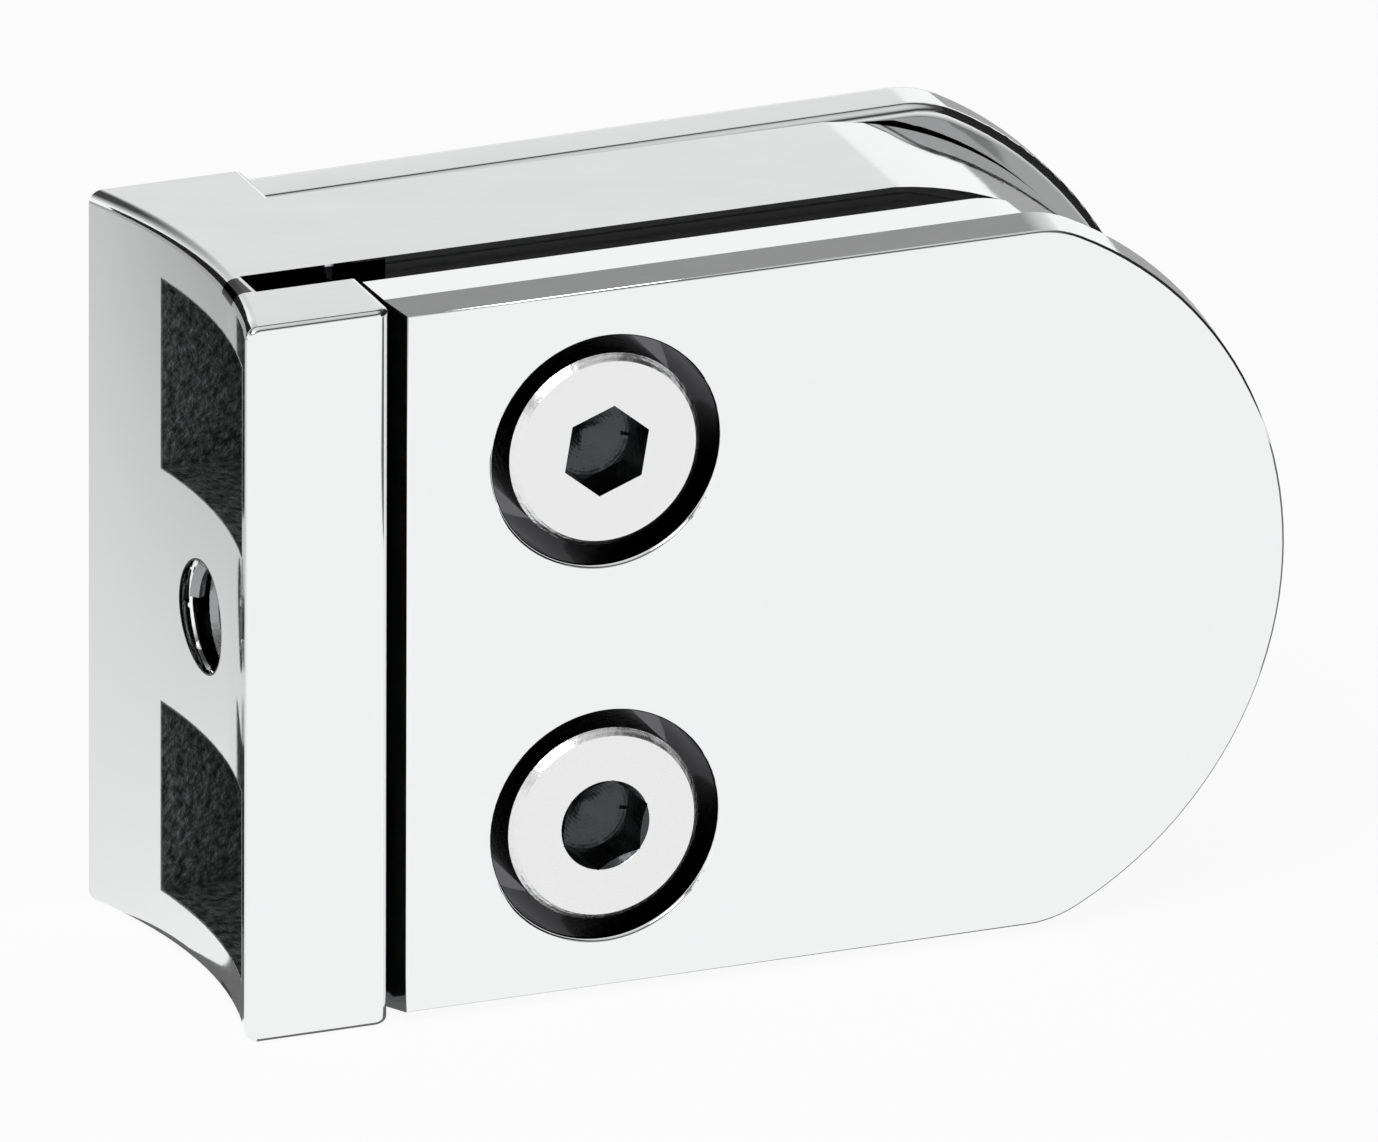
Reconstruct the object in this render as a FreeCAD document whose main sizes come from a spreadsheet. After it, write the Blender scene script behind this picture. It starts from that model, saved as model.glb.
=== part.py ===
# Glass panel clamp for a round post: a chromed casting with a saddle, a D-shaped front jaw
# plate held by two socket screws, and a rubber pad on each face of the jaw.
# Frame: X runs from the post into the panel, Y from the front to the rear, Z up.
# The origin is the mouth of the post bolt's hole, at the deepest line of the saddle.
import FreeCAD, Part
import os

import Sketcher

Vector = FreeCAD.Vector
doc = FreeCAD.newDocument("glass_panel_clamp")

# Driving sizes, in millimetres
SIZES = [
    ("body_height", 45.0, "height of the casting"),
    ("plate_step", 0.3, "how far the front plate stops short of the casting, each end"),
    ("flange_step", 0.4, "how far the rear flange stops short of the casting, each end"),
    ("front_reach", 11.7, "bolt axis to the front face"),
    ("post_radius", 38.05, "radius of the post that the saddle fits"),
    ("hub_reach", 7.4, "saddle line to the hub's right side"),
    ("strip_round", 1.0, "rounding of the strip's edge beside the plate"),
    ("edge_round", 0.4, "rounding of the casting's outer edges"),
    ("saddle_round", 0.8, "rounding of the saddle's end edges"),
    ("plate_gap", 0.9, "slit between the hub and the front plate"),
    ("plate_depth", 5.95, "thickness of the front plate"),
    ("face_depth", 2.5, "depth of the plate's drafted front zone"),
    ("left_draft", 0.6, "how far the face draws in beside the hub"),
    ("arc_centre", 40.2, "saddle line to the centre of the D arc"),
    ("arc_rise", 1.5, "how far the D arc's radius exceeds half the height"),
    ("land_inset", 0.7, "step of the plate's rear land on the arc"),
    ("block_inset", 1.4, "step of the casting's block on the arc"),
    ("blend_radius", 7.0, "blend between the D's straight edge and its arc"),
    ("jaw_gap", 2.4, "gap between the plate and the block, screws home"),
    ("block_depth", 11.5, "thickness of the block behind the jaw"),
    ("groove_width", 0.8, "width of the groove before the rear flange"),
    ("groove_depth", 1.0, "depth of that groove"),
    ("flange_depth", 3.95, "thickness of the rear flange"),
    ("flange_round", 0.7, "rounding of the flange's edges"),
    ("slot_depth", 1.8, "depth of the jaw slot where it crosses the hub"),
    ("slot_width", 2.7, "width of the jaw slot in the hub"),
    ("slot_start", 1.0, "saddle line to the slot's closed end"),
    ("pocket_height", 11.8, "height of each cored pocket"),
    ("pocket_wall", 3.25, "wall between a pocket and the casting's end"),
    ("pocket_depth", 5.4, "saddle line to the pockets' floor"),
    ("pocket_front_wall", 2.2, "wall between a pocket and the front face"),
    ("pocket_rear_wall", 7.3, "wall between a pocket and the rear face"),
    ("pocket_round", 0.9, "rounding of the pockets' corners"),
    ("bolt_bore", 6.8, "wall diameter of the post bolt's M8 hole"),
    ("bolt_mouth", 8.4, "diameter of that hole's countersunk mouth"),
    ("bolt_depth", 13.0, "depth of that hole"),
    ("screw_reach", 20.9, "saddle line to the screw axes"),
    ("screw_edge", 10.7, "distance from a screw axis to the casting's end"),
    ("shank_width", 5.9, "outer diameter of the screws' shank"),
    ("thread_play", 0.05, "radial play of the shank in its tapped hole"),
    ("shank_length", 17.0, "length of the screws under the head"),
    ("tip_play", 1.4, "room past the tip of a screw that is home"),
    ("shank_hole", 6.8, "diameter of the plate's holes for the shank"),
    ("head_width", 12.0, "diameter of the screw heads"),
    ("head_depth", 4.2, "height of the screw heads"),
    ("head_bevel", 0.4, "bevel of the heads and of the shank's tip"),
    ("recess_width", 13.7, "diameter of the recesses round the heads"),
    ("recess_round", 0.35, "rounding of the recess mouths"),
    ("hex_width", 4.9, "width of the hex sockets across flats"),
    ("hex_depth", 2.8, "depth of the hex sockets"),
    ("hex_mouth", 5.6, "diameter of the round bevel at the hex mouth"),
    ("pad_depth", 1.05, "thickness of each rubber pad"),
    ("pad_inset", 1.6, "distance of the pads' outline from the casting's"),
    ("pad_hole", 7.6, "diameter of the pads' holes round the screws"),
]

sheet = doc.addObject("Spreadsheet::Sheet", "dims")
for row, (alias, size, note) in enumerate(SIZES, start=1):
    sheet.set("A%d" % row, alias)
    sheet.set("B%d" % row, str(size))
    sheet.set("C%d" % row, note)
    sheet.setAlias("B%d" % row, alias)
doc.recompute()


def full_formula(formula):
    """The formula with each of the sheet's names written in full."""
    aliases = {alias for alias, size, note in SIZES}
    words = formula.split(" ")
    return " ".join("dims." + word if word in aliases else word for word in words)


def formula_value(formula):
    """The number that a formula of the sheet's sizes gives now."""
    return float(sheet.evalExpression(full_formula(formula)))


def bind(thing, path, formula):
    """Tie one property of an object to a formula of the sheet's sizes."""
    thing.setExpression(path, full_formula(formula))


def place(thing, x, y, z):
    bind(thing, "Placement.Base.x", x)
    bind(thing, "Placement.Base.y", y)
    bind(thing, "Placement.Base.z", z)


def box(name, corner, size):
    """A block from its lowest corner and its size along X, Y and Z."""
    block = doc.addObject("Part::Box", name)
    bind(block, "Length", size[0])
    bind(block, "Width", size[1])
    bind(block, "Height", size[2])
    place(block, *corner)
    return block


TURNS = {
    "X": FreeCAD.Rotation(Vector(0, 1, 0), 90),
    "Y": FreeCAD.Rotation(Vector(1, 0, 0), -90),
    "Z": FreeCAD.Rotation(),
}


def cylinder(name, axis, centre, radius, length):
    """A cylinder that starts at its centre point and runs along +X, +Y or +Z."""
    rod = doc.addObject("Part::Cylinder", name)
    rod.Placement = FreeCAD.Placement(Vector(), TURNS[axis])
    bind(rod, "Radius", radius)
    bind(rod, "Height", length)
    place(rod, *centre)
    return rod


def cone(name, axis, centre, start_radius, end_radius, length):
    taper = doc.addObject("Part::Cone", name)
    taper.Placement = FreeCAD.Placement(Vector(), TURNS[axis])
    bind(taper, "Radius1", start_radius)
    bind(taper, "Radius2", end_radius)
    bind(taper, "Height", length)
    place(taper, *centre)
    return taper


def fuse(name, pieces):
    joined = doc.addObject("Part::MultiFuse", name)
    joined.Shapes = pieces
    joined.Refine = True
    return joined


def cut(name, base, tools):
    """Take one or more solids away from the base."""
    tool = tools[0]
    if len(tools) > 1:
        tool = doc.addObject("Part::MultiFuse", name + "_tools")
        tool.Shapes = tools
    taken = doc.addObject("Part::Cut", name)
    taken.Base = base
    taken.Tool = tool
    return taken


def size_of(alias):
    return float(sheet.get(alias))


def edge_points(edge):
    """Five points along an edge, or none for the edge at the tip of a cone."""
    if edge.Degenerated:
        return []
    first, last = edge.ParameterRange
    return [edge.valueAt(first + (last - first) * step / 4) for step in range(5)]


def edges_where(shape, test):
    """Numbers of the edges whose every sampled point passes the test."""
    found = []
    for number, edge in enumerate(shape.Edges, start=1):
        points = edge_points(edge)
        if points and all(test(point) for point in points):
            found.append(number)
    return found


def soften(name, base, test, radius, depth=None, kind="Part::Fillet"):
    """Fillet or chamfer the edges that pass the test."""
    doc.recompute()
    worked = doc.addObject(kind, name)
    worked.Base = base
    numbers = edges_where(base.Shape, test)
    if not numbers:
        raise RuntimeError("no edge found for " + name)
    worked.Edges = [(number, radius, depth or radius) for number in numbers]
    doc.recompute()
    if worked.Shape.isNull() or not worked.Shape.isValid():
        raise RuntimeError("rounding failed: " + name)
    return worked


def near(value, target, slack=0.02):
    return abs(value - target) < slack


def d_sketch(name, left, half_height, radius, depth_place):
    """The D outline in the XZ plane: a left side, two straight edges and the arc."""
    doc.recompute()
    scratch = doc.addObject("Sketcher::SketchObject", name)
    turn = FreeCAD.Rotation(Vector(1, 0, 0), 90)
    scratch.Placement = FreeCAD.Placement(Vector(), turn)
    centre = size_of("arc_centre")
    side, high, bow = (formula_value(part) for part in (left, half_height, radius))
    reach = centre + (bow ** 2 - high ** 2) ** 0.5
    corners = [Vector(side, high, 0), Vector(reach, high, 0),
               Vector(reach, -high, 0), Vector(side, -high, 0)]
    tip = Vector(centre + bow, 0, 0)
    top = scratch.addGeometry(Part.LineSegment(corners[0], corners[1]))
    arc = scratch.addGeometry(Part.Arc(corners[2], tip, corners[1]))
    bottom = scratch.addGeometry(Part.LineSegment(corners[2], corners[3]))
    wall = scratch.addGeometry(Part.LineSegment(corners[3], corners[0]))
    rule = Sketcher.Constraint
    scratch.addConstraint([
        rule("Coincident", top, 2, arc, 2), rule("Coincident", arc, 1, bottom, 1),
        rule("Coincident", bottom, 2, wall, 1), rule("Coincident", wall, 2, top, 1),
        rule("Horizontal", top), rule("Horizontal", bottom), rule("Vertical", wall),
        rule("PointOnObject", arc, 3, -1)])
    measures = [
        (rule("DistanceX", -1, 1, arc, 3, centre), "arc_centre"),
        (rule("DistanceX", -1, 1, wall, 1, side), left),
        (rule("Radius", arc, bow), radius),
        (rule("DistanceY", -1, 1, wall, 2, high), half_height),
        (rule("DistanceY", wall, 1, -1, 1, high), half_height)]
    for measure, formula in measures:
        number = scratch.addConstraint(measure)
        bind(scratch, "Constraints[%d]" % number, formula)
    bind(scratch, "Placement.Base.y", depth_place)
    return scratch


def d_plate(name, left, half_height, radius, front, depth, blended=True):
    """A D-shaped plate from its front face to its rear, its two corners blended if they turn."""
    outline = d_sketch(name + "_outline", left, half_height, radius, front)
    plate = doc.addObject("Part::Extrusion", name + "_pad" if blended else name)
    plate.Base = outline
    plate.DirMode = "Custom"
    plate.Dir = Vector(0, 1, 0)
    plate.Solid = True
    bind(plate, "LengthFwd", depth)
    if not blended:
        return plate
    doc.recompute()
    top = plate.Shape.BoundBox.ZMax
    front_now = plate.Shape.BoundBox.YMin
    rear_now = plate.Shape.BoundBox.YMax

    def is_corner(edge):
        ends = sorted(vertex.Y for vertex in edge.Vertexes)
        across = near(ends[0], front_now) and near(ends[-1], rear_now)
        place_now = edge.CenterOfMass
        return across and place_now.x > size_of("arc_centre") and near(abs(place_now.z), top)
    blend = size_of("blend_radius")
    worked = doc.addObject("Part::Fillet", name)
    worked.Base = plate
    worked.Edges = [(number, blend, blend) for number, edge in enumerate(plate.Shape.Edges, 1)
                    if is_corner(edge)]
    doc.recompute()
    if len(worked.Edges) != 2 or worked.Shape.isNull():
        raise RuntimeError("corner blend failed: " + name)
    return worked


# Places that several pieces share, as formulas of the sheet's sizes
FRONT = "- front_reach"
PLATE_REAR = "- front_reach + plate_depth"
BLOCK_FRONT = "- front_reach + plate_depth + jaw_gap"
BLOCK_REAR = BLOCK_FRONT + " + block_depth"
FLANGE_FRONT = BLOCK_REAR + " + groove_width"
REAR = FLANGE_FRONT + " + flange_depth"
PLATE_LEFT = "hub_reach + plate_gap"
HEAD_SEAT = "- front_reach + head_depth"
PLATE_HALF = "body_height / 2 - plate_step"
FLANGE_HALF = "body_height / 2 - flange_step"
ARC_RADIUS = "body_height / 2 + arc_rise"
SCREW_LEVEL = "body_height / 2 - screw_edge"
POCKET_LEVEL = "body_height / 2 - pocket_wall - pocket_height / 2"


def make_screw_places():
    """The two screw axes: name, height formula."""
    return [("upper", SCREW_LEVEL), ("lower", "- ( " + SCREW_LEVEL + " )")]


def make_body():
    """The casting: hub with saddle and pockets, block, groove and rear flange."""
    depth = REAR + " + front_reach"
    hub_block = box("hub_block", ("- hub_reach", FRONT, "- body_height / 2"),
                    ("2 * hub_reach", depth, "body_height"))
    saddle = cylinder("saddle_post", "Z", ("- post_radius", "0", "- body_height"),
                      "post_radius", "2 * body_height")
    saddled = cut("hub_saddled", hub_block, [saddle])
    half_now = size_of("body_height") / 2
    front_now = formula_value(FRONT)
    saddle_line = size_of("post_radius")

    def on_saddle(point):
        return near((point.x + saddle_line) ** 2 + point.y ** 2, saddle_line ** 2, 0.5)
    ends = soften("hub_ends_rounded", saddled, lambda p: near(abs(p.z), half_now)
                  and on_saddle(p), size_of("saddle_round"))
    strip = soften("strip_rounded", ends, lambda p: near(p.x, size_of("hub_reach"))
                   and near(p.y, front_now), size_of("strip_round"))
    hub = soften("hub", strip, lambda p: near(abs(p.z), half_now) and near(p.y, front_now),
                 size_of("edge_round"))
    block = d_plate("block", "hub_reach / 2", "body_height / 2",
                    ARC_RADIUS + " - block_inset", BLOCK_FRONT, "block_depth", blended=False)
    neck = d_plate("neck", "hub_reach / 2", FLANGE_HALF + " - groove_depth",
                   ARC_RADIUS + " - block_inset - groove_depth", BLOCK_FRONT + " + block_depth / 2",
                   "block_depth / 2 + groove_width + flange_depth / 2", blended=False)
    flange_plain = d_plate("flange_plain", "hub_reach / 2", FLANGE_HALF, ARC_RADIUS,
                           FLANGE_FRONT, "flange_depth")
    front_line = formula_value(FLANGE_FRONT)
    rear_line = formula_value(REAR)
    beside = size_of("hub_reach") / 2 + 0.1

    def is_flange_edge(point):
        on_face = near(point.y, front_line) or near(point.y, rear_line)
        return on_face and point.x > beside
    flange = soften("flange", flange_plain, lambda p: is_flange_edge(p) or (
        near(abs(p.z), formula_value(FLANGE_HALF))
        and (near(p.y, front_line) or near(p.y, rear_line))), size_of("flange_round"))
    stock = fuse("casting_stock", [hub, block, neck, flange])

    cuts = []
    for name, foot in (("slot_upper", "body_height / 2 - slot_depth"),
                       ("slot_lower", "- body_height / 2 - slot_depth")):
        cuts.append(box(name, ("slot_start", BLOCK_FRONT + " - slot_width", foot),
                        ("2 * hub_reach", "slot_width", "2 * slot_depth")))
    for name, middle in (("pocket_upper", POCKET_LEVEL),
                         ("pocket_lower", "- ( " + POCKET_LEVEL + " )")):
        core = box(name + "_core", ("- hub_reach", FRONT + " + pocket_front_wall",
                                    middle + " - pocket_height / 2"),
                   ("hub_reach + pocket_depth",
                    depth + " - pocket_front_wall - pocket_rear_wall", "pocket_height"))
        floor_line = size_of("pocket_depth")
        mouth_line = -size_of("hub_reach")
        rounded = soften(name, core, lambda p: not near(p.x, mouth_line)
                         and (near(p.x, floor_line) or p.x < floor_line),
                         size_of("pocket_round"))
        cuts.append(rounded)
    cuts.append(cylinder("bolt_bore", "X", ("- hub_reach", "0", "0"),
                         "bolt_bore / 2", "hub_reach + bolt_depth"))
    cuts.append(cone("bolt_tip", "X", ("bolt_depth", "0", "0"),
                     "bolt_bore / 2", "0", "bolt_bore / 4"))
    cuts.append(cone("bolt_mouth", "X", ("0", "0", "0"), "bolt_mouth / 2",
                     "bolt_bore / 2", "( bolt_mouth - bolt_bore ) / 2"))
    for name, level in make_screw_places():
        cuts.append(cylinder(name + "_tapped_hole", "Y", ("screw_reach", BLOCK_FRONT, level),
                             "shank_width / 2 + thread_play",
                             "shank_length + head_depth - plate_depth - jaw_gap + tip_play"))
    return cut("clamp_body", stock, cuts)


def make_front_plate():
    """The jaw plate: a drafted front zone before a plain land, with two head recesses."""
    zone = d_plate("face_zone", PLATE_LEFT, PLATE_HALF, ARC_RADIUS,
                   FRONT, "face_depth")
    front_now = formula_value(FRONT)
    left_now = formula_value(PLATE_LEFT)
    sides = soften("face_left", zone, lambda p: near(p.y, front_now) and near(p.x, left_now),
                   size_of("left_draft"), size_of("face_depth") * 0.9, kind="Part::Chamfer")
    land = d_plate("land", PLATE_LEFT, PLATE_HALF, ARC_RADIUS + " - land_inset",
                   FRONT + " + face_depth", "plate_depth - face_depth")
    stock = fuse("plate_stock", [sides, land])
    cuts = []
    for name, level in make_screw_places():
        cuts.append(cylinder(name + "_recess", "Y", ("screw_reach", FRONT, level),
                             "recess_width / 2", "head_depth"))
        cuts.append(cylinder(name + "_shank_hole", "Y", ("screw_reach", FRONT, level),
                             "shank_hole / 2", "plate_depth"))
    carved = cut("plate_carved", stock, cuts)
    mouth = size_of("recess_width") / 2
    reach = size_of("screw_reach")
    level_now = formula_value(SCREW_LEVEL)

    def on_mouth(point):
        across = ((point.x - reach) ** 2 + (abs(point.z) - level_now) ** 2) ** 0.5
        return near(point.y, front_now) and near(across, mouth)
    return soften("front_plate", carved, on_mouth, size_of("recess_round"))


def make_pad(name, front):
    """A rubber pad with the jaw's outline, drawn in, and a hole round each screw."""
    sheet_pad = d_plate(name + "_blank", PLATE_LEFT + " + pad_inset",
                        PLATE_HALF + " - pad_inset",
                        ARC_RADIUS + " - block_inset - pad_inset", front, "pad_depth",
                        blended=False)
    holes = []
    for place_name, level in make_screw_places():
        holes.append(cylinder(name + "_" + place_name + "_hole", "Y",
                              ("screw_reach", front, level), "pad_hole / 2", "pad_depth"))
    return cut(name, sheet_pad, holes)


def make_screw(name, level, round_mouth):
    """A low-headed socket screw, its hex open to the front."""
    centre = "screw_reach"
    head = cylinder(name + "_head", "Y", (centre, FRONT, level), "head_width / 2", "head_depth")
    front_now = formula_value(FRONT)
    head = soften(name + "_head_bevelled", head, lambda p: near(p.y, front_now),
                  size_of("head_bevel"), kind="Part::Chamfer")
    shank = cylinder(name + "_shank", "Y", (centre, HEAD_SEAT, level), "shank_width / 2",
                     "shank_length")
    tip_now = formula_value(HEAD_SEAT + " + shank_length")
    shank = soften(name + "_shank_bevelled", shank, lambda p: near(p.y, tip_now),
                   size_of("head_bevel"), kind="Part::Chamfer")
    blank = fuse(name + "_blank", [head, shank])
    hexagon = doc.addObject("Part::Prism", name + "_hex")
    hexagon.Polygon = 6
    hex_turn = FreeCAD.Rotation(Vector(0, 1, 0), -20.6)
    hexagon.Placement = FreeCAD.Placement(Vector(), hex_turn.multiply(TURNS["Y"]))
    bind(hexagon, "Circumradius", "hex_width / 1.7320508")
    bind(hexagon, "Height", "hex_depth")
    place(hexagon, centre, FRONT, level)
    tip = cone(name + "_hex_floor", "Y", (centre, FRONT + " + hex_depth", level),
               "hex_width / 2", "0", "hex_width / 6")
    cuts = [hexagon, tip]
    if round_mouth:
        cuts.append(cone(name + "_hex_mouth", "Y", (centre, FRONT, level), "hex_mouth / 2",
                         "hex_width / 2", "( hex_mouth - hex_width ) / 2"))
    return cut(name + "_screw", blank, cuts)


def make_all():
    pieces = [("clamp_body", make_body()), ("front_plate", make_front_plate()),
              ("body_gasket", make_pad("body_gasket", BLOCK_FRONT + " - pad_depth")),
              ("plate_gasket", make_pad("plate_gasket", PLATE_REAR))]
    for name, level in make_screw_places():
        pieces.append((name + "_screw", make_screw(name, level, name == "lower")))
    for label, piece in pieces:
        piece.Label = label
    return pieces


pieces = make_all()
doc.recompute()
for thing in doc.Objects:
    if "Invalid" in thing.State or "Error" in thing.State:
        raise RuntimeError("failed object: %s %s" % (thing.Name, thing.State))
for label, piece in pieces:
    if piece.Shape.isNull() or not piece.Shape.isValid():
        raise RuntimeError("bad shape: " + label)
    if len(piece.Shape.Solids) != 1:
        raise RuntimeError("%s has %d solids" % (label, len(piece.Shape.Solids)))

os.makedirs("parts", exist_ok=True)
for label, piece in pieces:
    piece.Shape.exportStep("parts/%s.step" % label)
    limits = piece.Shape.BoundBox
    print("%-14s volume %9.1f  x %6.2f %6.2f  y %6.2f %6.2f  z %6.2f %6.2f" % (
        label, piece.Shape.Volume, limits.XMin, limits.XMax, limits.YMin, limits.YMax,
        limits.ZMin, limits.ZMax))
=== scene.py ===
# %% [markdown]
# A glass panel clamp in polished chrome. The solids come from the frame, already at their
# real size. This lesson gives them their finishes, drafts the front plate's rim, winds the
# thread in the post bolt's hole, and sets up a pale studio that a mirror finish can show.

# %% Load the frame
import bmesh
import bpy
import math
from mathutils import Matrix, Vector


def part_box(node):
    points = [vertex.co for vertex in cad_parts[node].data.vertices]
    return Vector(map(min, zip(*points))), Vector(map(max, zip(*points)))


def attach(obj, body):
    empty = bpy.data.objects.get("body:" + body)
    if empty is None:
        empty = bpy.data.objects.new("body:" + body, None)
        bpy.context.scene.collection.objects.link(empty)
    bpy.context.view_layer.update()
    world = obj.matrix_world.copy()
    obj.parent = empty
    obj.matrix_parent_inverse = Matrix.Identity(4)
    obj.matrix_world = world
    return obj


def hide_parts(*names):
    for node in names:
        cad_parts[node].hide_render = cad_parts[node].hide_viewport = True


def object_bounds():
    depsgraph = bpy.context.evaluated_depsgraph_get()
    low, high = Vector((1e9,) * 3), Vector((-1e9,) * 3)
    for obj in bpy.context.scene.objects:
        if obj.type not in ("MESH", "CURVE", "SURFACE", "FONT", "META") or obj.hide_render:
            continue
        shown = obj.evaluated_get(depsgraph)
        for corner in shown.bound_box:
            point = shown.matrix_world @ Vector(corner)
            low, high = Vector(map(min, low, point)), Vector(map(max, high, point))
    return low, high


MM = 0.001
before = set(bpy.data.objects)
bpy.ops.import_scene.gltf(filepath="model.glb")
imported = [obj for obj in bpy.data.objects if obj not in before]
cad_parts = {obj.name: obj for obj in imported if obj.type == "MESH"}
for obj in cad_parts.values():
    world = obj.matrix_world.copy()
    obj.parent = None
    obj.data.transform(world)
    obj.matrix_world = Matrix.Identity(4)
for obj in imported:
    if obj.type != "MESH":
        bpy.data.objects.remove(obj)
cad_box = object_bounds()


def box_mm(node):
    """A node's low and high corners, in millimetres."""
    low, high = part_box(node)
    return low / MM, high / MM


plate_low, plate_high = box_mm("front_plate")
print("nodes:", ", ".join(sorted(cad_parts)))
print("plate from", [round(v, 2) for v in plate_low], "to", [round(v, 2) for v in plate_high])

# %% [markdown]
# The photograph was taken from the front, a little to the left and above, with a long lens.
# An orthographic camera would come close, but a long lens far away keeps the slight
# perspective too. Its place is worked out from one measured point, two angles, a roll and
# the image scale, so that no pose has to be found by hand.

# %% Place the camera
PHOTO_WIDTH_PX, PHOTO_HEIGHT_PX = 1378, 1142
LEFT_TURN = math.radians(21.60)
LOOK_DOWN = math.radians(21.29)
ROLL = math.radians(0.257)
PX_PER_MM = 17.008
SADDLE_MIDDLE = Vector((-2.1, 0.6, 0.0)) * MM
SADDLE_MIDDLE_PX = (165.8, 618.1)
CAMERA_DISTANCE = 3.0
SEE_AS_FAR_AS = 12.0
SENSOR_MM = 36.0

side = Vector((math.cos(LEFT_TURN), -math.sin(LEFT_TURN), 0))
back = Vector((-math.sin(LEFT_TURN) * math.cos(LOOK_DOWN),
               -math.cos(LEFT_TURN) * math.cos(LOOK_DOWN), math.sin(LOOK_DOWN)))
rise = back.cross(side)
right = side * math.cos(ROLL) + rise * math.sin(ROLL)
up = back.cross(right)
right_mm = (PHOTO_WIDTH_PX / 2 - SADDLE_MIDDLE_PX[0]) / PX_PER_MM
up_mm = (SADDLE_MIDDLE_PX[1] - PHOTO_HEIGHT_PX / 2) / PX_PER_MM
aim = SADDLE_MIDDLE + (right * right_mm + up * up_mm) * MM

camera = bpy.data.objects.new("camera", bpy.data.cameras.new("camera"))
bpy.context.scene.collection.objects.link(camera)
place = Matrix((right, up, back)).transposed().to_4x4()
place.translation = aim + back * CAMERA_DISTANCE
camera.matrix_world = place
camera.data.sensor_width = SENSOR_MM
camera.data.lens = PX_PER_MM / MM * CAMERA_DISTANCE * SENSOR_MM / PHOTO_WIDTH_PX
camera.data.clip_end = SEE_AS_FAR_AS
bpy.context.scene.camera = camera
print("lens %.0f mm, aim %s" % (camera.data.lens, [round(v, 4) for v in aim]))

# %% [markdown]
# Every finish below is a tree of shader nodes. Nodes can be wired by hand in the editor, but
# in a script a few short helpers keep each material readable: one makes a node, one makes a
# Math node from sockets and plain numbers, and two make and place a node group.

# %% Node helpers
def new_material(name):
    """A material with its node tree and its Principled shader."""
    material = bpy.data.materials.new(name)
    material.use_nodes = True
    return material, material.node_tree, material.node_tree.nodes["Principled BSDF"]


def add_node(tree, kind, **settings):
    node = tree.nodes.new(kind)
    for key, value in settings.items():
        setattr(node, key, value)
    return node


def object_point(tree):
    """The point being shaded, in the object's own coordinates, in metres."""
    return add_node(tree, "ShaderNodeTexCoord").outputs["Object"]


def split_point(tree):
    """The three coordinates of that point, each a socket."""
    parts = add_node(tree, "ShaderNodeSeparateXYZ")
    tree.links.new(object_point(tree), parts.inputs[0])
    return parts.outputs


def math_node(tree, operation, first, second=None, third=None):
    """A Math node whose inputs are sockets or plain numbers."""
    node = add_node(tree, "ShaderNodeMath", operation=operation)
    for socket, value in zip(node.inputs, (first, second, third)):
        if isinstance(value, bpy.types.NodeSocket):
            tree.links.new(value, socket)
        elif value is not None:
            socket.default_value = value
    return node.outputs[0]


def new_group(name, inputs, outputs):
    """A shader node group with named number sockets."""
    group = bpy.data.node_groups.new(name, "ShaderNodeTree")
    for label, start in inputs.items():
        socket = group.interface.new_socket(label, in_out="INPUT", socket_type="NodeSocketFloat")
        socket.default_value = start
    for label in outputs:
        group.interface.new_socket(label, in_out="OUTPUT", socket_type="NodeSocketFloat")
    return group, group.nodes.new("NodeGroupInput"), group.nodes.new("NodeGroupOutput")


def place_group(tree, group, **values):
    """A group's node in a tree, with its own values; an underscore stands for a space."""
    node = tree.nodes.new("ShaderNodeGroup")
    node.node_tree = group
    for label, value in values.items():
        node.inputs[label.replace("_", " ")].default_value = value
    return node


# %% [markdown]
# Chrome has almost no colour of its own: it shows the room. Polishing leaves a slow ripple
# and a few fine specks, and both change how sharp the reflections are. An image could hold
# them, but two noise textures need no mapping and stay sharp close up. They are one group,
# so that every metal here can use them with its own amounts.

# %% The polished surface group
POLISH_INPUTS = {"Ripple size": 60.0, "Ripple": 0.2, "Speck size": 900.0, "Speck": 0.1,
                 "Smooth": 0.05, "Rough": 0.12}
polish, enter, leave = new_group("Polished surface", POLISH_INPUTS, ["Roughness", "Height"])
spot = object_point(polish)
ripple = add_node(polish, "ShaderNodeTexNoise")
speck = add_node(polish, "ShaderNodeTexNoise")
for texture, label in ((ripple, "Ripple size"), (speck, "Speck size")):
    polish.links.new(spot, texture.inputs["Vector"])
    polish.links.new(enter.outputs[label], texture.inputs["Scale"])
slow = math_node(polish, "MULTIPLY", ripple.outputs[0], enter.outputs["Ripple"])
fine = math_node(polish, "MULTIPLY", speck.outputs[0], enter.outputs["Speck"])
polish.links.new(math_node(polish, "ADD", slow, fine), leave.inputs["Height"])
spread = math_node(polish, "SUBTRACT", enter.outputs["Rough"], enter.outputs["Smooth"])
blend = math_node(polish, "MULTIPLY_ADD", spread, speck.outputs[0], enter.outputs["Smooth"])
polish.links.new(blend, leave.inputs["Roughness"])
print("group:", polish.name, len(polish.nodes), "nodes")
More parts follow.
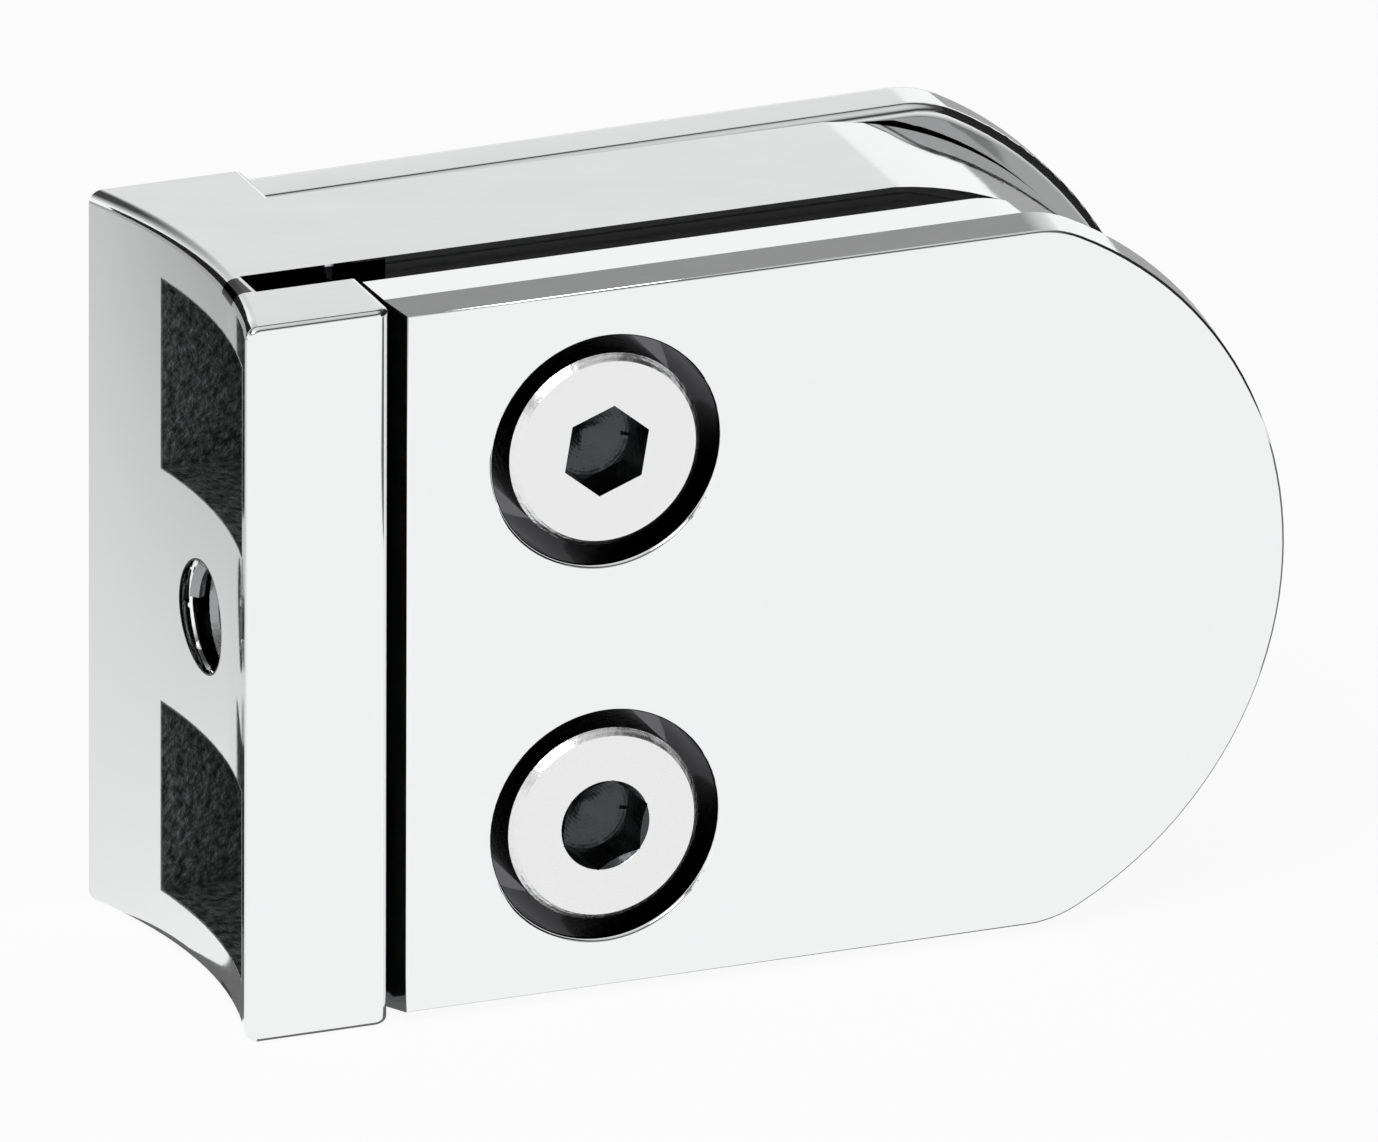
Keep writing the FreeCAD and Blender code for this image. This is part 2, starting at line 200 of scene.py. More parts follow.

# %% [markdown]
# The casting is one solid, but its finish changes by place: the pockets are raw from the
# mould, and the narrow slots are painted dark as painted shade. Faces could be given
# materials of their own, but a mask by place needs no list of faces. The group gives one
# inside a box and zero outside, and treats the upper and lower half of the part alike.

# %% The box mask group
BOX_INPUTS = {"Middle X": 0, "Middle Y": 0, "Middle Z": 0,
              "Half X": 0.01, "Half Y": 0.01, "Half Z": 0.01, "Soft edge": 0.0003}
box_mask, enter, leave = new_group("Box mask", BOX_INPUTS, ["Mask"])
inside = None
for axis, level in zip("XYZ", split_point(box_mask)):
    if axis == "Z":
        level = math_node(box_mask, "ABSOLUTE", level)
    away = math_node(box_mask, "SUBTRACT", level, enter.outputs["Middle " + axis])
    room = math_node(box_mask, "SUBTRACT", enter.outputs["Half " + axis],
                     math_node(box_mask, "ABSOLUTE", away))
    share = math_node(box_mask, "DIVIDE", room, enter.outputs["Soft edge"])
    share.node.use_clamp = True
    inside = share if inside is None else math_node(box_mask, "MULTIPLY", inside, share)
box_mask.links.new(inside, leave.inputs["Mask"])


def mask_of(tree, box, soft):
    """The mask of a box, from its low and high corners and its soft edge in millimetres."""
    values = {"Soft_edge": soft * MM}
    for axis, start, end in zip("XYZ", *box):
        values["Middle_" + axis] = (start + end) / 2 * MM
        values["Half_" + axis] = (end - start) / 2 * MM
    return place_group(tree, box_mask, **values).outputs["Mask"]


print("group:", box_mask.name, len(box_mask.nodes), "nodes")

# %% [markdown]
# Two more helpers join the masks to the shader. A bump of a few micrometres bends the
# reflections a little, as hand polishing does. A colour mix lets one mask darken one place.
# The distance from a screw's axis is needed for the plate's recesses and for the screws.

# %% Bump, colour mix and distance from a screw
screw_low, screw_high = box_mm("upper_screw")
screw_x = (screw_low.x + screw_high.x) / 2
screw_level = (screw_low.z + screw_high.z) / 2
print("screw axes at x %.2f mm and %.2f mm up and down" % (screw_x, screw_level))


def add_bump(tree, shader, height, depth):
    """Bend the shader's normal by a height; the depth is in metres."""
    bump = add_node(tree, "ShaderNodeBump")
    bump.inputs["Distance"].default_value = depth
    bump.inputs["Strength"].default_value = 1.0
    tree.links.new(height, bump.inputs["Height"])
    tree.links.new(bump.outputs["Normal"], shader.inputs["Normal"])


def mix_color(tree, mask, first, second):
    """Mix two colours, each a socket or four numbers, by a mask."""
    mix = add_node(tree, "ShaderNodeMix", data_type="RGBA")
    tree.links.new(mask, mix.inputs[0])
    # A Mix node holds sockets for every kind of data, and its colours are these three.
    for socket, value in ((mix.inputs[6], first), (mix.inputs[7], second)):
        if isinstance(value, bpy.types.NodeSocket):
            tree.links.new(value, socket)
        else:
            socket.default_value = value
    return mix.outputs[2]


def reach_of(tree):
    """Distance from the nearer screw axis, and the level along Y, both in metres."""
    across, along, height = split_point(tree)
    across = math_node(tree, "SUBTRACT", across, screw_x * MM)
    upward = math_node(tree, "SUBTRACT", math_node(tree, "ABSOLUTE", height), screw_level * MM)
    square = math_node(tree, "ADD", math_node(tree, "MULTIPLY", across, across),
                       math_node(tree, "MULTIPLY", upward, upward))
    return math_node(tree, "SQRT", square), along


def below_face(tree, level, depth):
    """One where a point lies deeper than so many millimetres behind the plate's face."""
    return math_node(tree, "GREATER_THAN", level, (plate_low.y + depth) * MM)


# %% [markdown]
# The front plate is plated and polished to a mirror, so it is a Principled shader at full
# metallic with a low roughness. Only its two recesses are painted dark, as painted shade: a
# mirror there would show the bright room, where the real recess shows the shadow beside the
# screw's head.

# %% Chrome for the plate
CHROME_COLOR = (0.90, 0.905, 0.91, 1)
# The recesses' painted shade, and how far behind the face it begins.
RECESS_PAINTED_SHADE = (0.13, 0.13, 0.135, 1)
RECESS_RADIUS = 7.55
RECESS_SHADE_FROM = 0.25
POLISH_DEPTH = 0.00005


def make_plate_chrome():
    material, tree, shader = new_material("polished chrome plate")
    shader.inputs["Metallic"].default_value = 1.0
    surface = place_group(tree, polish, Ripple_size=55.0, Ripple=0.6, Speck_size=1500.0,
                          Speck=0.02, Smooth=0.03, Rough=0.09)
    tree.links.new(surface.outputs["Roughness"], shader.inputs["Roughness"])
    reach, level = reach_of(tree)
    # Painted shade: inside the recess and behind the face, the base colour turns dark grey.
    near_axis = math_node(tree, "LESS_THAN", reach, RECESS_RADIUS * MM)
    recess = math_node(tree, "MULTIPLY", near_axis, below_face(tree, level, RECESS_SHADE_FROM))
    tree.links.new(mix_color(tree, recess, CHROME_COLOR, RECESS_PAINTED_SHADE),
                   shader.inputs["Base Color"])
    add_bump(tree, shader, surface.outputs["Height"], POLISH_DEPTH)
    print(material.name, len(tree.nodes), "nodes")
    return material


chrome_plate = make_plate_chrome()

# %% [markdown]
# The casting has the same chrome outside. Its two pockets were never polished: they are grey,
# grainy and half as metallic. The slot in the hub, the groove before the rear flange, the post
# bolt's hole and the slot's end on the saddle's round are painted nearly black: painted shade
# in the slots, the groove and the hole, and a painted dark reflection on the round. A material
# for each would break the one skin of chrome, so their masks are joined by the larger value
# and mixed in last.

# %% Chrome and raw pockets for the casting
POCKET_BOX = ((-3.0, -9.7, 7.3), (5.7, 5.8, 19.4))
POCKET_EDGE = 0.1
POCKET_DARK, POCKET_DARK_AT = (0.030, 0.031, 0.032, 1), 0.35
POCKET_PALE, POCKET_PALE_AT = (0.190, 0.195, 0.198, 1), 0.75
POCKET_METAL_LOSS, POCKET_ROUGHER, POCKET_GRAIN = -0.5, 0.45, 6.0
GRAIN_SIZE, GRAIN_DETAIL = 1800.0, 6.0
# The painted shade: its boxes, their soft edge, its colour and the post bolt's hole.
HUB_SLOT_BOX = ((0.7, -6.25, 20.4), (10.2, -3.2, 22.42))
REAR_GROOVE_BOX = ((7.45, 8.1, -1), (66, 9.0, 22.30))
SLOT_END_BOX = ((-0.5, -6.0, 21.6), (0.82, -3.5, 22.6))
SHADE_BOX_EDGE = 0.08
DEEP_PAINTED_SHADE = (0.012, 0.012, 0.013, 1)
BORE_WALL, BORE_END = 3.5, 18.0


def bore_shade_mask(tree):
    """One inside the post bolt's hole, which runs along X."""
    along, across, height = split_point(tree)
    flat = add_node(tree, "ShaderNodeCombineXYZ")
    tree.links.new(across, flat.inputs[0])
    tree.links.new(height, flat.inputs[1])
    from_axis = add_node(tree, "ShaderNodeVectorMath", operation="LENGTH")
    tree.links.new(flat.outputs[0], from_axis.inputs[0])
    in_wall = math_node(tree, "LESS_THAN", from_axis.outputs["Value"], BORE_WALL * MM)
    before_end = math_node(tree, "LESS_THAN", along, BORE_END * MM)
    return math_node(tree, "MULTIPLY", in_wall, before_end)


def make_pocket_grain(tree):
    """The pockets' grain as a height, and the grey that goes with it."""
    grain = add_node(tree, "ShaderNodeTexNoise")
    grain.inputs["Scale"].default_value = GRAIN_SIZE
    grain.inputs["Detail"].default_value = GRAIN_DETAIL
    tree.links.new(object_point(tree), grain.inputs["Vector"])
    mottled = add_node(tree, "ShaderNodeValToRGB")
    for element, color, position in zip(mottled.color_ramp.elements, (POCKET_DARK, POCKET_PALE),
                                        (POCKET_DARK_AT, POCKET_PALE_AT)):
        element.color = color
        element.position = position
    tree.links.new(grain.outputs[0], mottled.inputs[0])
    return grain.outputs[0], mottled.outputs[0]


def make_casting_chrome():
    material, tree, shader = new_material("polished chrome casting")
    surface = place_group(tree, polish, Ripple_size=70.0, Ripple=0.8, Speck_size=1500.0,
                          Speck=0.02, Smooth=0.03, Rough=0.10)
    pocket = mask_of(tree, POCKET_BOX, POCKET_EDGE)
    # Painted shade: the hole, the slots, the groove and the slot's end turn near black.
    painted_shade = bore_shade_mask(tree)
    for box in (HUB_SLOT_BOX, REAR_GROOVE_BOX, SLOT_END_BOX):
        painted_shade = math_node(tree, "MAXIMUM", painted_shade, mask_of(tree, box, SHADE_BOX_EDGE))
    grain, grey = make_pocket_grain(tree)
    raw_color = mix_color(tree, pocket, CHROME_COLOR, grey)
    tree.links.new(mix_color(tree, painted_shade, raw_color, DEEP_PAINTED_SHADE), shader.inputs["Base Color"])
    metal = math_node(tree, "MULTIPLY_ADD", pocket, POCKET_METAL_LOSS, 1.0)
    tree.links.new(metal, shader.inputs["Metallic"])
    dull = math_node(tree, "MULTIPLY_ADD", pocket, POCKET_ROUGHER, surface.outputs["Roughness"])
    tree.links.new(dull, shader.inputs["Roughness"])
    raw = math_node(tree, "MULTIPLY", grain, pocket)
    height = math_node(tree, "MULTIPLY_ADD", raw, POCKET_GRAIN, surface.outputs["Height"])
    add_bump(tree, shader, height, POLISH_DEPTH)
    print(material.name, len(tree.nodes), "nodes")
    return material


chrome_casting = make_casting_chrome()

# %% [markdown]
# The screw heads are turned steel: finer and duller than the chrome, with faint rings round
# each axis. Rings could be cut in the mesh, but they are far too fine for that, so a wave
# driven by the distance from the axis makes them as bump. The sockets, and all that lies a
# little behind the plate's face, are painted dark as painted shade.

# %% Turned steel for the screws
RING_PITCH = 0.22
RING_HEIGHT = 0.03
TURNED_DEPTH = 0.00006
SOCKET_RADIUS = 2.86
# Painted shade begins this far behind the plate's face: in the sockets, and on the heads' sides.
SOCKET_SHADE_FROM, HEAD_SHADE_FROM = 0.02, 0.42
SCREW_COLOR = (0.86, 0.86, 0.865, 1)
# The painted shade's dark grey.
SOCKET_PAINTED_SHADE = (0.065, 0.068, 0.07, 1)


def make_screw_steel(name, smooth, rough):
    material, tree, shader = new_material(name)
    shader.inputs["Metallic"].default_value = 1.0
    surface = place_group(tree, polish, Ripple_size=240.0, Ripple=0.9, Speck_size=2200.0,
                          Speck=0.5, Smooth=smooth, Rough=rough)
    reach, level = reach_of(tree)
    # Painted shade: the sockets and the heads' sides behind the face are mixed to dark grey.
    in_socket = math_node(tree, "MULTIPLY",
                          math_node(tree, "LESS_THAN", reach, SOCKET_RADIUS * MM),
                          below_face(tree, level, SOCKET_SHADE_FROM))
    shade = math_node(tree, "MAXIMUM", in_socket, below_face(tree, level, HEAD_SHADE_FROM))
    tree.links.new(mix_color(tree, shade, SCREW_COLOR, SOCKET_PAINTED_SHADE),
                   shader.inputs["Base Color"])
    turns = math_node(tree, "MULTIPLY", reach, 2 * math.pi / (RING_PITCH * MM))
    height = math_node(tree, "MULTIPLY_ADD", math_node(tree, "SINE", turns), RING_HEIGHT,
                       surface.outputs["Height"])
    tree.links.new(surface.outputs["Roughness"], shader.inputs["Roughness"])
    add_bump(tree, shader, height, TURNED_DEPTH)
    print(material.name, len(tree.nodes), "nodes")
    return material


upper_steel = make_screw_steel("turned steel, upper screw", smooth=0.14, rough=0.30)
lower_steel = make_screw_steel("turned steel, lower screw", smooth=0.18, rough=0.38)

# %% [markdown]
# The two pads that grip the glass are soft black rubber: not metallic, rough, with a fine
# grain. A plain black would look like a hole, so a noise varies its grey, its roughness and
# its height. The pads' solids already have the right shape, and only take this finish.

# %% Black rubber for the pads
RUBBER_DARK = (0.008, 0.008, 0.008, 1)
RUBBER_PALE = (0.020, 0.020, 0.020, 1)
RUBBER_GRAIN_SIZE = 900.0
RUBBER_SMOOTH, RUBBER_SPREAD = 0.6, 0.2
RUBBER_DEPTH = 0.00003


def make_rubber():
    material, tree, shader = new_material("black rubber")
    grain = add_node(tree, "ShaderNodeTexNoise")
    grain.inputs["Scale"].default_value = RUBBER_GRAIN_SIZE
    tree.links.new(object_point(tree), grain.inputs["Vector"])
    shade = add_node(tree, "ShaderNodeValToRGB")
    for element, color in zip(shade.color_ramp.elements, (RUBBER_DARK, RUBBER_PALE)):
        element.color = color
    tree.links.new(grain.outputs[0], shade.inputs[0])
    tree.links.new(shade.outputs[0], shader.inputs["Base Color"])
    rough = math_node(tree, "MULTIPLY_ADD", grain.outputs[0], RUBBER_SPREAD, RUBBER_SMOOTH)
    tree.links.new(rough, shader.inputs["Roughness"])
    add_bump(tree, shader, grain.outputs[0], RUBBER_DEPTH)
    return material


rubber = make_rubber()
for name in ("body_gasket", "plate_gasket"):
    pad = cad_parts[name]
    if not pad.material_slots:
        pad.data.materials.append(rubber)
    for slot in pad.material_slots:
        slot.material = rubber
    print(name, "faces", len(pad.data.polygons), "finish", rubber.name)

# %% [markdown]
# The metal pieces start from their solids' own meshes, so that their sizes stay true. Each is
# joined into one skin, shaded smoothly between its sharp edges, and given small soft edges,
# because a real edge always catches a line of light. Modifiers do this without moving the
# faces: a bevel rounds the edges, and weighted normals keep the flat faces flat.

# %% Make a piece from a node
JOIN_WITHIN = 0.002
SHARP_FROM = 30
BEVEL_FROM, BEVEL_STEPS = 45, 2


def node_shell(node):
    """A node's mesh for editing, with the corners that its faces share joined."""
    shell = bmesh.new()
    shell.from_mesh(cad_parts[node].data)
    bmesh.ops.remove_doubles(shell, verts=shell.verts[:], dist=JOIN_WITHIN * MM)
    return shell


def move_points(shell, shape):
    """Move each point by a function of its place in millimetres."""
    for vertex in shell.verts:
        vertex.co = shape(vertex.co / MM)


def new_piece(name, shell, material, sharp_from=SHARP_FROM):
    """An object from the shell, smooth but for edges above an angle in degrees."""
    mesh = bpy.data.meshes.new(name)
    shell.to_mesh(mesh)
    shell.free()
    if "custom_normal" in mesh.attributes:
        mesh.attributes.remove(mesh.attributes["custom_normal"])
    mesh.polygons.foreach_set("use_smooth", [True] * len(mesh.polygons))
    mesh.set_sharp_from_angle(angle=math.radians(sharp_from))
    mesh.materials.clear()
    mesh.materials.append(material)
    mesh.polygons.foreach_set("material_index", [0] * len(mesh.polygons))
    piece = bpy.data.objects.new(name, mesh)
    bpy.context.scene.collection.objects.link(piece)
    print(name, "has", len(mesh.polygons), "faces")
    return piece


def soften_edges(piece, width):
    """Round the sharp edges by a width in millimetres, and even out the shading."""
    bevel = piece.modifiers.new("soft edges", "BEVEL")
    bevel.width = width * MM
    bevel.segments = BEVEL_STEPS
    bevel.limit_method = "ANGLE"
    bevel.angle_limit = math.radians(BEVEL_FROM)
    even = piece.modifiers.new("even shading", "WEIGHTED_NORMAL")
    even.keep_sharp = True
    return bevel


def stand_for(piece, node, body):
    """The piece moves with a body and hides the node."""
    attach(piece, body)
    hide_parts(node)


# %% [markdown]
# The front plate's rim is drafted: its front zone slopes to the face, and its rear land
# falls very slightly backwards, which is why one band mirrors a dark part of the room and the
# other a bright one. Its left end stands half a millimetre further out than the solid's, and
# the mouths of its recesses are a little wider. A sculpted edit would be hard to repeat, so a
# function moves each point by where it is.

# %% Shape the front plate's rim
FACE_DRAFT = 0.30
LAND_DRAFT = 0.12
LEFT_SHIFT, LEFT_END_TO = 0.50, 9.2
MOUTH_GROWTH, MOUTH_FROM, MOUTH_TO = 0.30, 6.5, 7.4
ARC_RADIUS, ARC_FROM_X = 24.0, 46.5
RIM_FROM, ARC_RIM_FROM = 21.9, 22.0
AT_FACE = 0.05
arc_x = plate_high.x - ARC_RADIUS
print("the rim's arc has its middle at x %.2f mm" % arc_x)


def rim_draft(y):
    """How far the rim falls in at a level of the plate's depth."""
    if y < plate_low.y + AT_FACE:
        return FACE_DRAFT
    return LAND_DRAFT if y > plate_high.y - AT_FACE else 0.0


def shaped(point):
    """One point of the plate, in millimetres, moved to the drafted rim."""
    x, y, z = point
    reach = math.hypot(x - arc_x, z)
    if x > ARC_FROM_X and reach > ARC_RIM_FROM:
        keep = (reach - rim_draft(y)) / reach
        x, z = arc_x + (x - arc_x) * keep, z * keep
    elif abs(z) > RIM_FROM:
        z -= math.copysign(rim_draft(y), z)
    if x < LEFT_END_TO:
        x -= LEFT_SHIFT
    for level in (screw_level, -screw_level):
        across, upward = x - screw_x, z - level
        reach = math.hypot(across, upward)
        if MOUTH_FROM < reach < MOUTH_TO:
            grow = (reach + MOUTH_GROWTH) / reach
            x, z = screw_x + across * grow, level + upward * grow
    return Vector((x, y, z)) * MM


# %% [markdown]
# On a white ground the plate's outline would vanish but for its polished front edge, which
# mirrors something dark. A bevel over the whole plate would trip over the tiny facets of the
# recess mouths, so only the outline's edges carry bevel weight. The mesh is first cut where
# the front zone meets the land, so that the slope ends in one clean crease.

# %% The front plate
ZONE_REAR = -9.2
FLAT_WITHIN = 0.3
OUTLINE_AT_FACE = 0.02
CREASE_WITHIN = 0.01
PLATE_EDGE = 0.14


def cut_level(shell, level):
    """Merge the flat faces, then cut the shell by a plane across Y."""
    bmesh.ops.dissolve_limit(shell, angle_limit=math.radians(FLAT_WITHIN),
                             verts=shell.verts[:], edges=shell.edges[:])
    bmesh.ops.bisect_plane(shell, geom=shell.verts[:] + shell.edges[:] + shell.faces[:],
                           plane_co=(0, level * MM, 0), plane_no=(0, 1, 0))


def mark_outline(shell):
    """Give the front face's outer edge full bevel weight, and the recess mouths none."""
    weight = shell.edges.layers.float.new("bevel_weight_edge")
    marked = 0
    for line in shell.edges:
        if len(line.link_faces) != 2 or line.calc_face_angle(0) < math.radians(BEVEL_FROM):
            continue
        middle = (line.verts[0].co + line.verts[1].co) / 2 / MM
        on_face = max(end.co.y / MM for end in line.verts) < plate_low.y + OUTLINE_AT_FACE
        from_screw = math.hypot(middle.x - screw_x, abs(middle.z) - screw_level)
        if on_face and from_screw > RECESS_RADIUS:
            line[weight] = 1.0
            marked += 1
    print("outline edges marked:", marked)


def crease(mesh, level):
    """Mark the edges that lie on a level of Y as sharp."""
    for line in mesh.edges:
        ends = [mesh.vertices[number].co.y / MM for number in line.vertices]
        if max(abs(end - level) for end in ends) < CREASE_WITHIN:
            line.use_edge_sharp = True


shell = node_shell("front_plate")
cut_level(shell, ZONE_REAR)
mark_outline(shell)
move_points(shell, shaped)
plate = new_piece("front_plate_drafted", shell, chrome_plate)
crease(plate.data, ZONE_REAR)
bevel = soften_edges(plate, PLATE_EDGE)
bevel.limit_method = "WEIGHT"
bevel.use_clamp_overlap = False
bevel.loop_slide = False
stand_for(plate, "front_plate", "jaw")

# %% [markdown]
# The casting keeps its solid's form. Only the rear flange's rim stands a third of a
# millimetre higher, almost level with the block, so that the groove before it shows as a
# thin line. Moving those points is enough, and no face is added.

# %% The casting
FLANGE_FRONT, HUB_REACH = 8.95, 7.4
FLANGE_HALF, RAISED_HALF = 22.1, 22.42
CASTING_SHARP_FROM = 50
CASTING_EDGE = 0.10


def flange_raised(point):
    """One point of the casting, in millimetres, with the rear flange's rim raised."""
    x, y, z = point
    if y > FLANGE_FRONT - AT_FACE and x > HUB_REACH + AT_FACE:
        z *= RAISED_HALF / FLANGE_HALF
    return Vector((x, y, z)) * MM


shell = node_shell("clamp_body")
move_points(shell, flange_raised)
casting = new_piece("clamp_body_polished", shell, chrome_casting, CASTING_SHARP_FROM)
soften_edges(casting, CASTING_EDGE)
stand_for(casting, "clamp_body", "body")

# %% [markdown]
# The two screws turn in the plate's recesses. They could be modelled again, but their solids
# have the heads and the sockets already, so they need only a very narrow bevel, as a turned
# part has.

# %% The two screws
SCREW_EDGE = 0.04
for which, steel in (("upper", upper_steel), ("lower", lower_steel)):
    screw = new_piece(which + "_screw_turned", node_shell(which + "_screw"), steel)
    soften_edges(screw, SCREW_EDGE)
    stand_for(screw, which + "_screw", which + "_screw_body")

# %% [markdown]
# The saddle's ends are rounded, and a mirror finish shows each facet of such a round as a
# fleck. More facets would help a little. Better, the true normals are known from the
# saddle's radius, so they are set on the mesh's corners, and the reflection runs along the
# edge as one clean line. They have to come after the modifiers, which are applied first.

# %% True normals on the saddle's round
SADDLE_RADIUS, SADDLE_ROUND = 38.05, 0.8
ROUND_FROM_Y, ROUND_TO_Y = -10.8, 12.0
FIT = 0.03
SAME_SIDE = 0.7
end_level = box_mm("clamp_body")[1].z
print("the saddle ends %.2f mm up and down" % end_level)


def round_normal(point):
    """The true normal on the rounded end of the saddle, or None elsewhere."""
    x, y, z = point
    reach = math.hypot(x + SADDLE_RADIUS, y)
    inward = reach - SADDLE_RADIUS - SADDLE_ROUND
    upward = abs(z) - end_level + SADDLE_ROUND
    if inward > FIT or upward < -FIT or not ROUND_FROM_Y < y < ROUND_TO_Y:
        return None
    if abs(math.hypot(inward, upward) - SADDLE_ROUND) > FIT:
        return None
    level = Vector((x + SADDLE_RADIUS, y, 0)) * (inward / reach)
    return (level + Vector((0, 0, math.copysign(upward, z)))).normalized()


def set_round_normals(piece):
    """Keep what the modifiers made, with exact normals where the round is."""
    graph = bpy.context.evaluated_depsgraph_get()
    mesh = bpy.data.meshes.new_from_object(piece.evaluated_get(graph))
    normals = [corner.vector.copy() for corner in mesh.corner_normals]
    changed = 0
    for face in mesh.polygons:
        for corner in face.loop_indices:
            true = round_normal(mesh.vertices[mesh.loops[corner].vertex_index].co / MM)
            if true and true.dot(face.normal) > SAME_SIDE:
                normals[corner] = true
                changed += 1
    mesh.normals_split_custom_set(normals)
    piece.modifiers.clear()
    piece.data = mesh
    print("corners with true normals:", changed)


set_round_normals(casting)

# %% [markdown]
# The post bolt's hole is threaded. The solid holds its plain wall, so the thread's turns are
# a separate ridge wound round the wall. A screw modifier could wind it, but a loop shows how
# such a mesh is built: a small section of four points is carried along a helix, and each
# section is joined to the next.

# %% Wind the M8 thread
BORE_RADIUS = 3.4
THREAD_PITCH = 1.25
THREAD_HEIGHT = 0.42
THREAD_START, THREAD_LENGTH = 1.0, 10.0
IN_THE_WALL = 0.02
FOOT_SHARE, CREST_SHARE = 0.42, 0.2
STEPS_A_TURN = 48
print("thread turns:", THREAD_LENGTH / THREAD_PITCH)


def thread_mesh():
    """A closed helical ridge that stands in from the wall, along +X."""
    steps = int(THREAD_LENGTH / THREAD_PITCH * STEPS_A_TURN)
    foot = THREAD_PITCH * FOOT_SHARE
    crest = foot * CREST_SHARE
    section = [(-foot, IN_THE_WALL), (-crest, -THREAD_HEIGHT),
               (crest, -THREAD_HEIGHT), (foot, IN_THE_WALL)]
    points, faces = [], []
    for step in range(steps + 1):
        angle = 2 * math.pi * step / STEPS_A_TURN
        along = THREAD_START + THREAD_PITCH * step / STEPS_A_TURN
        for shift, stand in section:
            radius = BORE_RADIUS + stand
            points.append(Vector((along + shift, radius * math.cos(angle),
                                  radius * math.sin(angle))) * MM)
    count = len(section)
    for step in range(steps):
        first, second = step * count, (step + 1) * count
        for corner in range(count):
            nearby = (corner + 1) % count
            faces.append((first + corner, first + nearby, second + nearby, second + corner))
    faces.append(tuple(range(count))[::-1])
    faces.append(tuple(steps * count + corner for corner in range(count)))
    mesh = bpy.data.meshes.new("post_bolt_thread")
    mesh.from_pydata(points, [], faces)
    mesh.update()
    return mesh


# %% [markdown]
# A cut thread is bare metal, grey and duller than the chrome round it. It uses the same
# polished group with a smaller grain, and rides on the casting's body.

# %% Finish the thread
THREAD_COLOR = (0.34, 0.345, 0.35, 1)
THREAD_DEPTH = 0.00004

cut_thread, tree, shader = new_material("cut thread")
shader.inputs["Base Color"].default_value = THREAD_COLOR
shader.inputs["Metallic"].default_value = 1.0
surface = place_group(tree, polish, Ripple_size=600.0, Ripple=0.5, Speck_size=2600.0,
                      Speck=0.4, Smooth=0.16, Rough=0.34)
tree.links.new(surface.outputs["Roughness"], shader.inputs["Roughness"])
add_bump(tree, shader, surface.outputs["Height"], THREAD_DEPTH)
thread = bpy.data.objects.new("post_bolt_thread", thread_mesh())
bpy.context.scene.collection.objects.link(thread)
thread.data.materials.append(cut_thread)
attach(thread, "body")
print("thread faces", len(thread.data.polygons))

# %% [markdown]
# The studio begins with a white floor that fills the view. The camera sees it evenly white.
# The chrome sees more: a floor that grows darker behind the part, and a painted shadow under
# it and beside it, dark as a real part's own shadow. Light Path tells these rays apart, so the
# floor glows for them by different amounts while it still takes a faint shadow.

# %% Floor
FLOOR_SIZE = 6.0
FLOOR_DROP = 0.02
FLOOR_COLOR, FLOOR_ROUGHNESS = (0.9, 0.9, 0.9, 1), 0.9
FLOOR_GLOW_SHARE = 0.93
FLOOR_DARK_Y, FLOOR_WHITE_Y = 0.12, -0.01
FLOOR_DARK = 0.38
# The painted shadow's rectangles on the floor, in millimetres, and how much it dims.
SHADOW_UNDER_PART = (-1, 150, -11.8, 15)
SHADOW_BESIDE_PART = (85, 220, -60, 60)
SHADOW_DIMMING = -0.88
floor_z = cad_box[0][2] - FLOOR_DROP * MM


def add_stage(name, corners, material):
    """A flat sheet of the studio from its four corners, which is no part of the object."""
    mesh = bpy.data.meshes.new(name)
    mesh.from_pydata(corners, [], [(0, 1, 2, 3)])
    mesh.materials.append(material)
    sheet = bpy.data.objects.new(name, mesh)
    bpy.context.scene.collection.objects.link(sheet)
    return sheet


def in_patch(tree, point, patch):
    """One inside a rectangle of the floor, given in millimetres, and zero outside."""
    low_x, high_x, low_y, high_y = patch
    inside = None
    for level, low, high in ((point[0], low_x, high_x), (point[1], low_y, high_y)):
        for test, limit in (("GREATER_THAN", low * MM), ("LESS_THAN", high * MM)):
            side_of = math_node(tree, test, level, limit)
            inside = side_of if inside is None else math_node(tree, "MULTIPLY", inside, side_of)
    return inside


def mirrored_tone(tree):
    """The floor's brightness as a mirror sees it."""
    point = split_point(tree)
    tone = add_node(tree, "ShaderNodeMapRange")
    for label, value in (("From Min", FLOOR_DARK_Y), ("From Max", FLOOR_WHITE_Y),
                         ("To Min", FLOOR_DARK), ("To Max", 1.0)):
        tone.inputs[label].default_value = value
    tree.links.new(point[1], tone.inputs["Value"])
    # Painted shadow: the floor's glow dims under and beside the part, for the mirrors only.
    patch = math_node(tree, "MAXIMUM", in_patch(tree, point, SHADOW_UNDER_PART),
                      in_patch(tree, point, SHADOW_BESIDE_PART))
    dimmed = math_node(tree, "MULTIPLY_ADD", patch, SHADOW_DIMMING, 1.0)
    return math_node(tree, "MULTIPLY", tone.outputs[0], dimmed)


floor_white, tree, shader = new_material("white floor")
shader.inputs["Base Color"].default_value = FLOOR_COLOR
shader.inputs["Roughness"].default_value = FLOOR_ROUGHNESS
rays = add_node(tree, "ShaderNodeLightPath")
seen = math_node(tree, "ADD", rays.outputs["Is Camera Ray"], rays.outputs["Is Glossy Ray"])
seen = math_node(tree, "ADD", seen, rays.outputs["Is Transmission Ray"])
seen.node.use_clamp = True
glow = add_node(tree, "ShaderNodeEmission")
tree.links.new(math_node(tree, "MAXIMUM", mirrored_tone(tree), rays.outputs["Is Camera Ray"]),
               glow.inputs["Strength"])
mix = add_node(tree, "ShaderNodeMixShader")
tree.links.new(math_node(tree, "MULTIPLY", seen, FLOOR_GLOW_SHARE), mix.inputs[0])
tree.links.new(shader.outputs[0], mix.inputs[1])
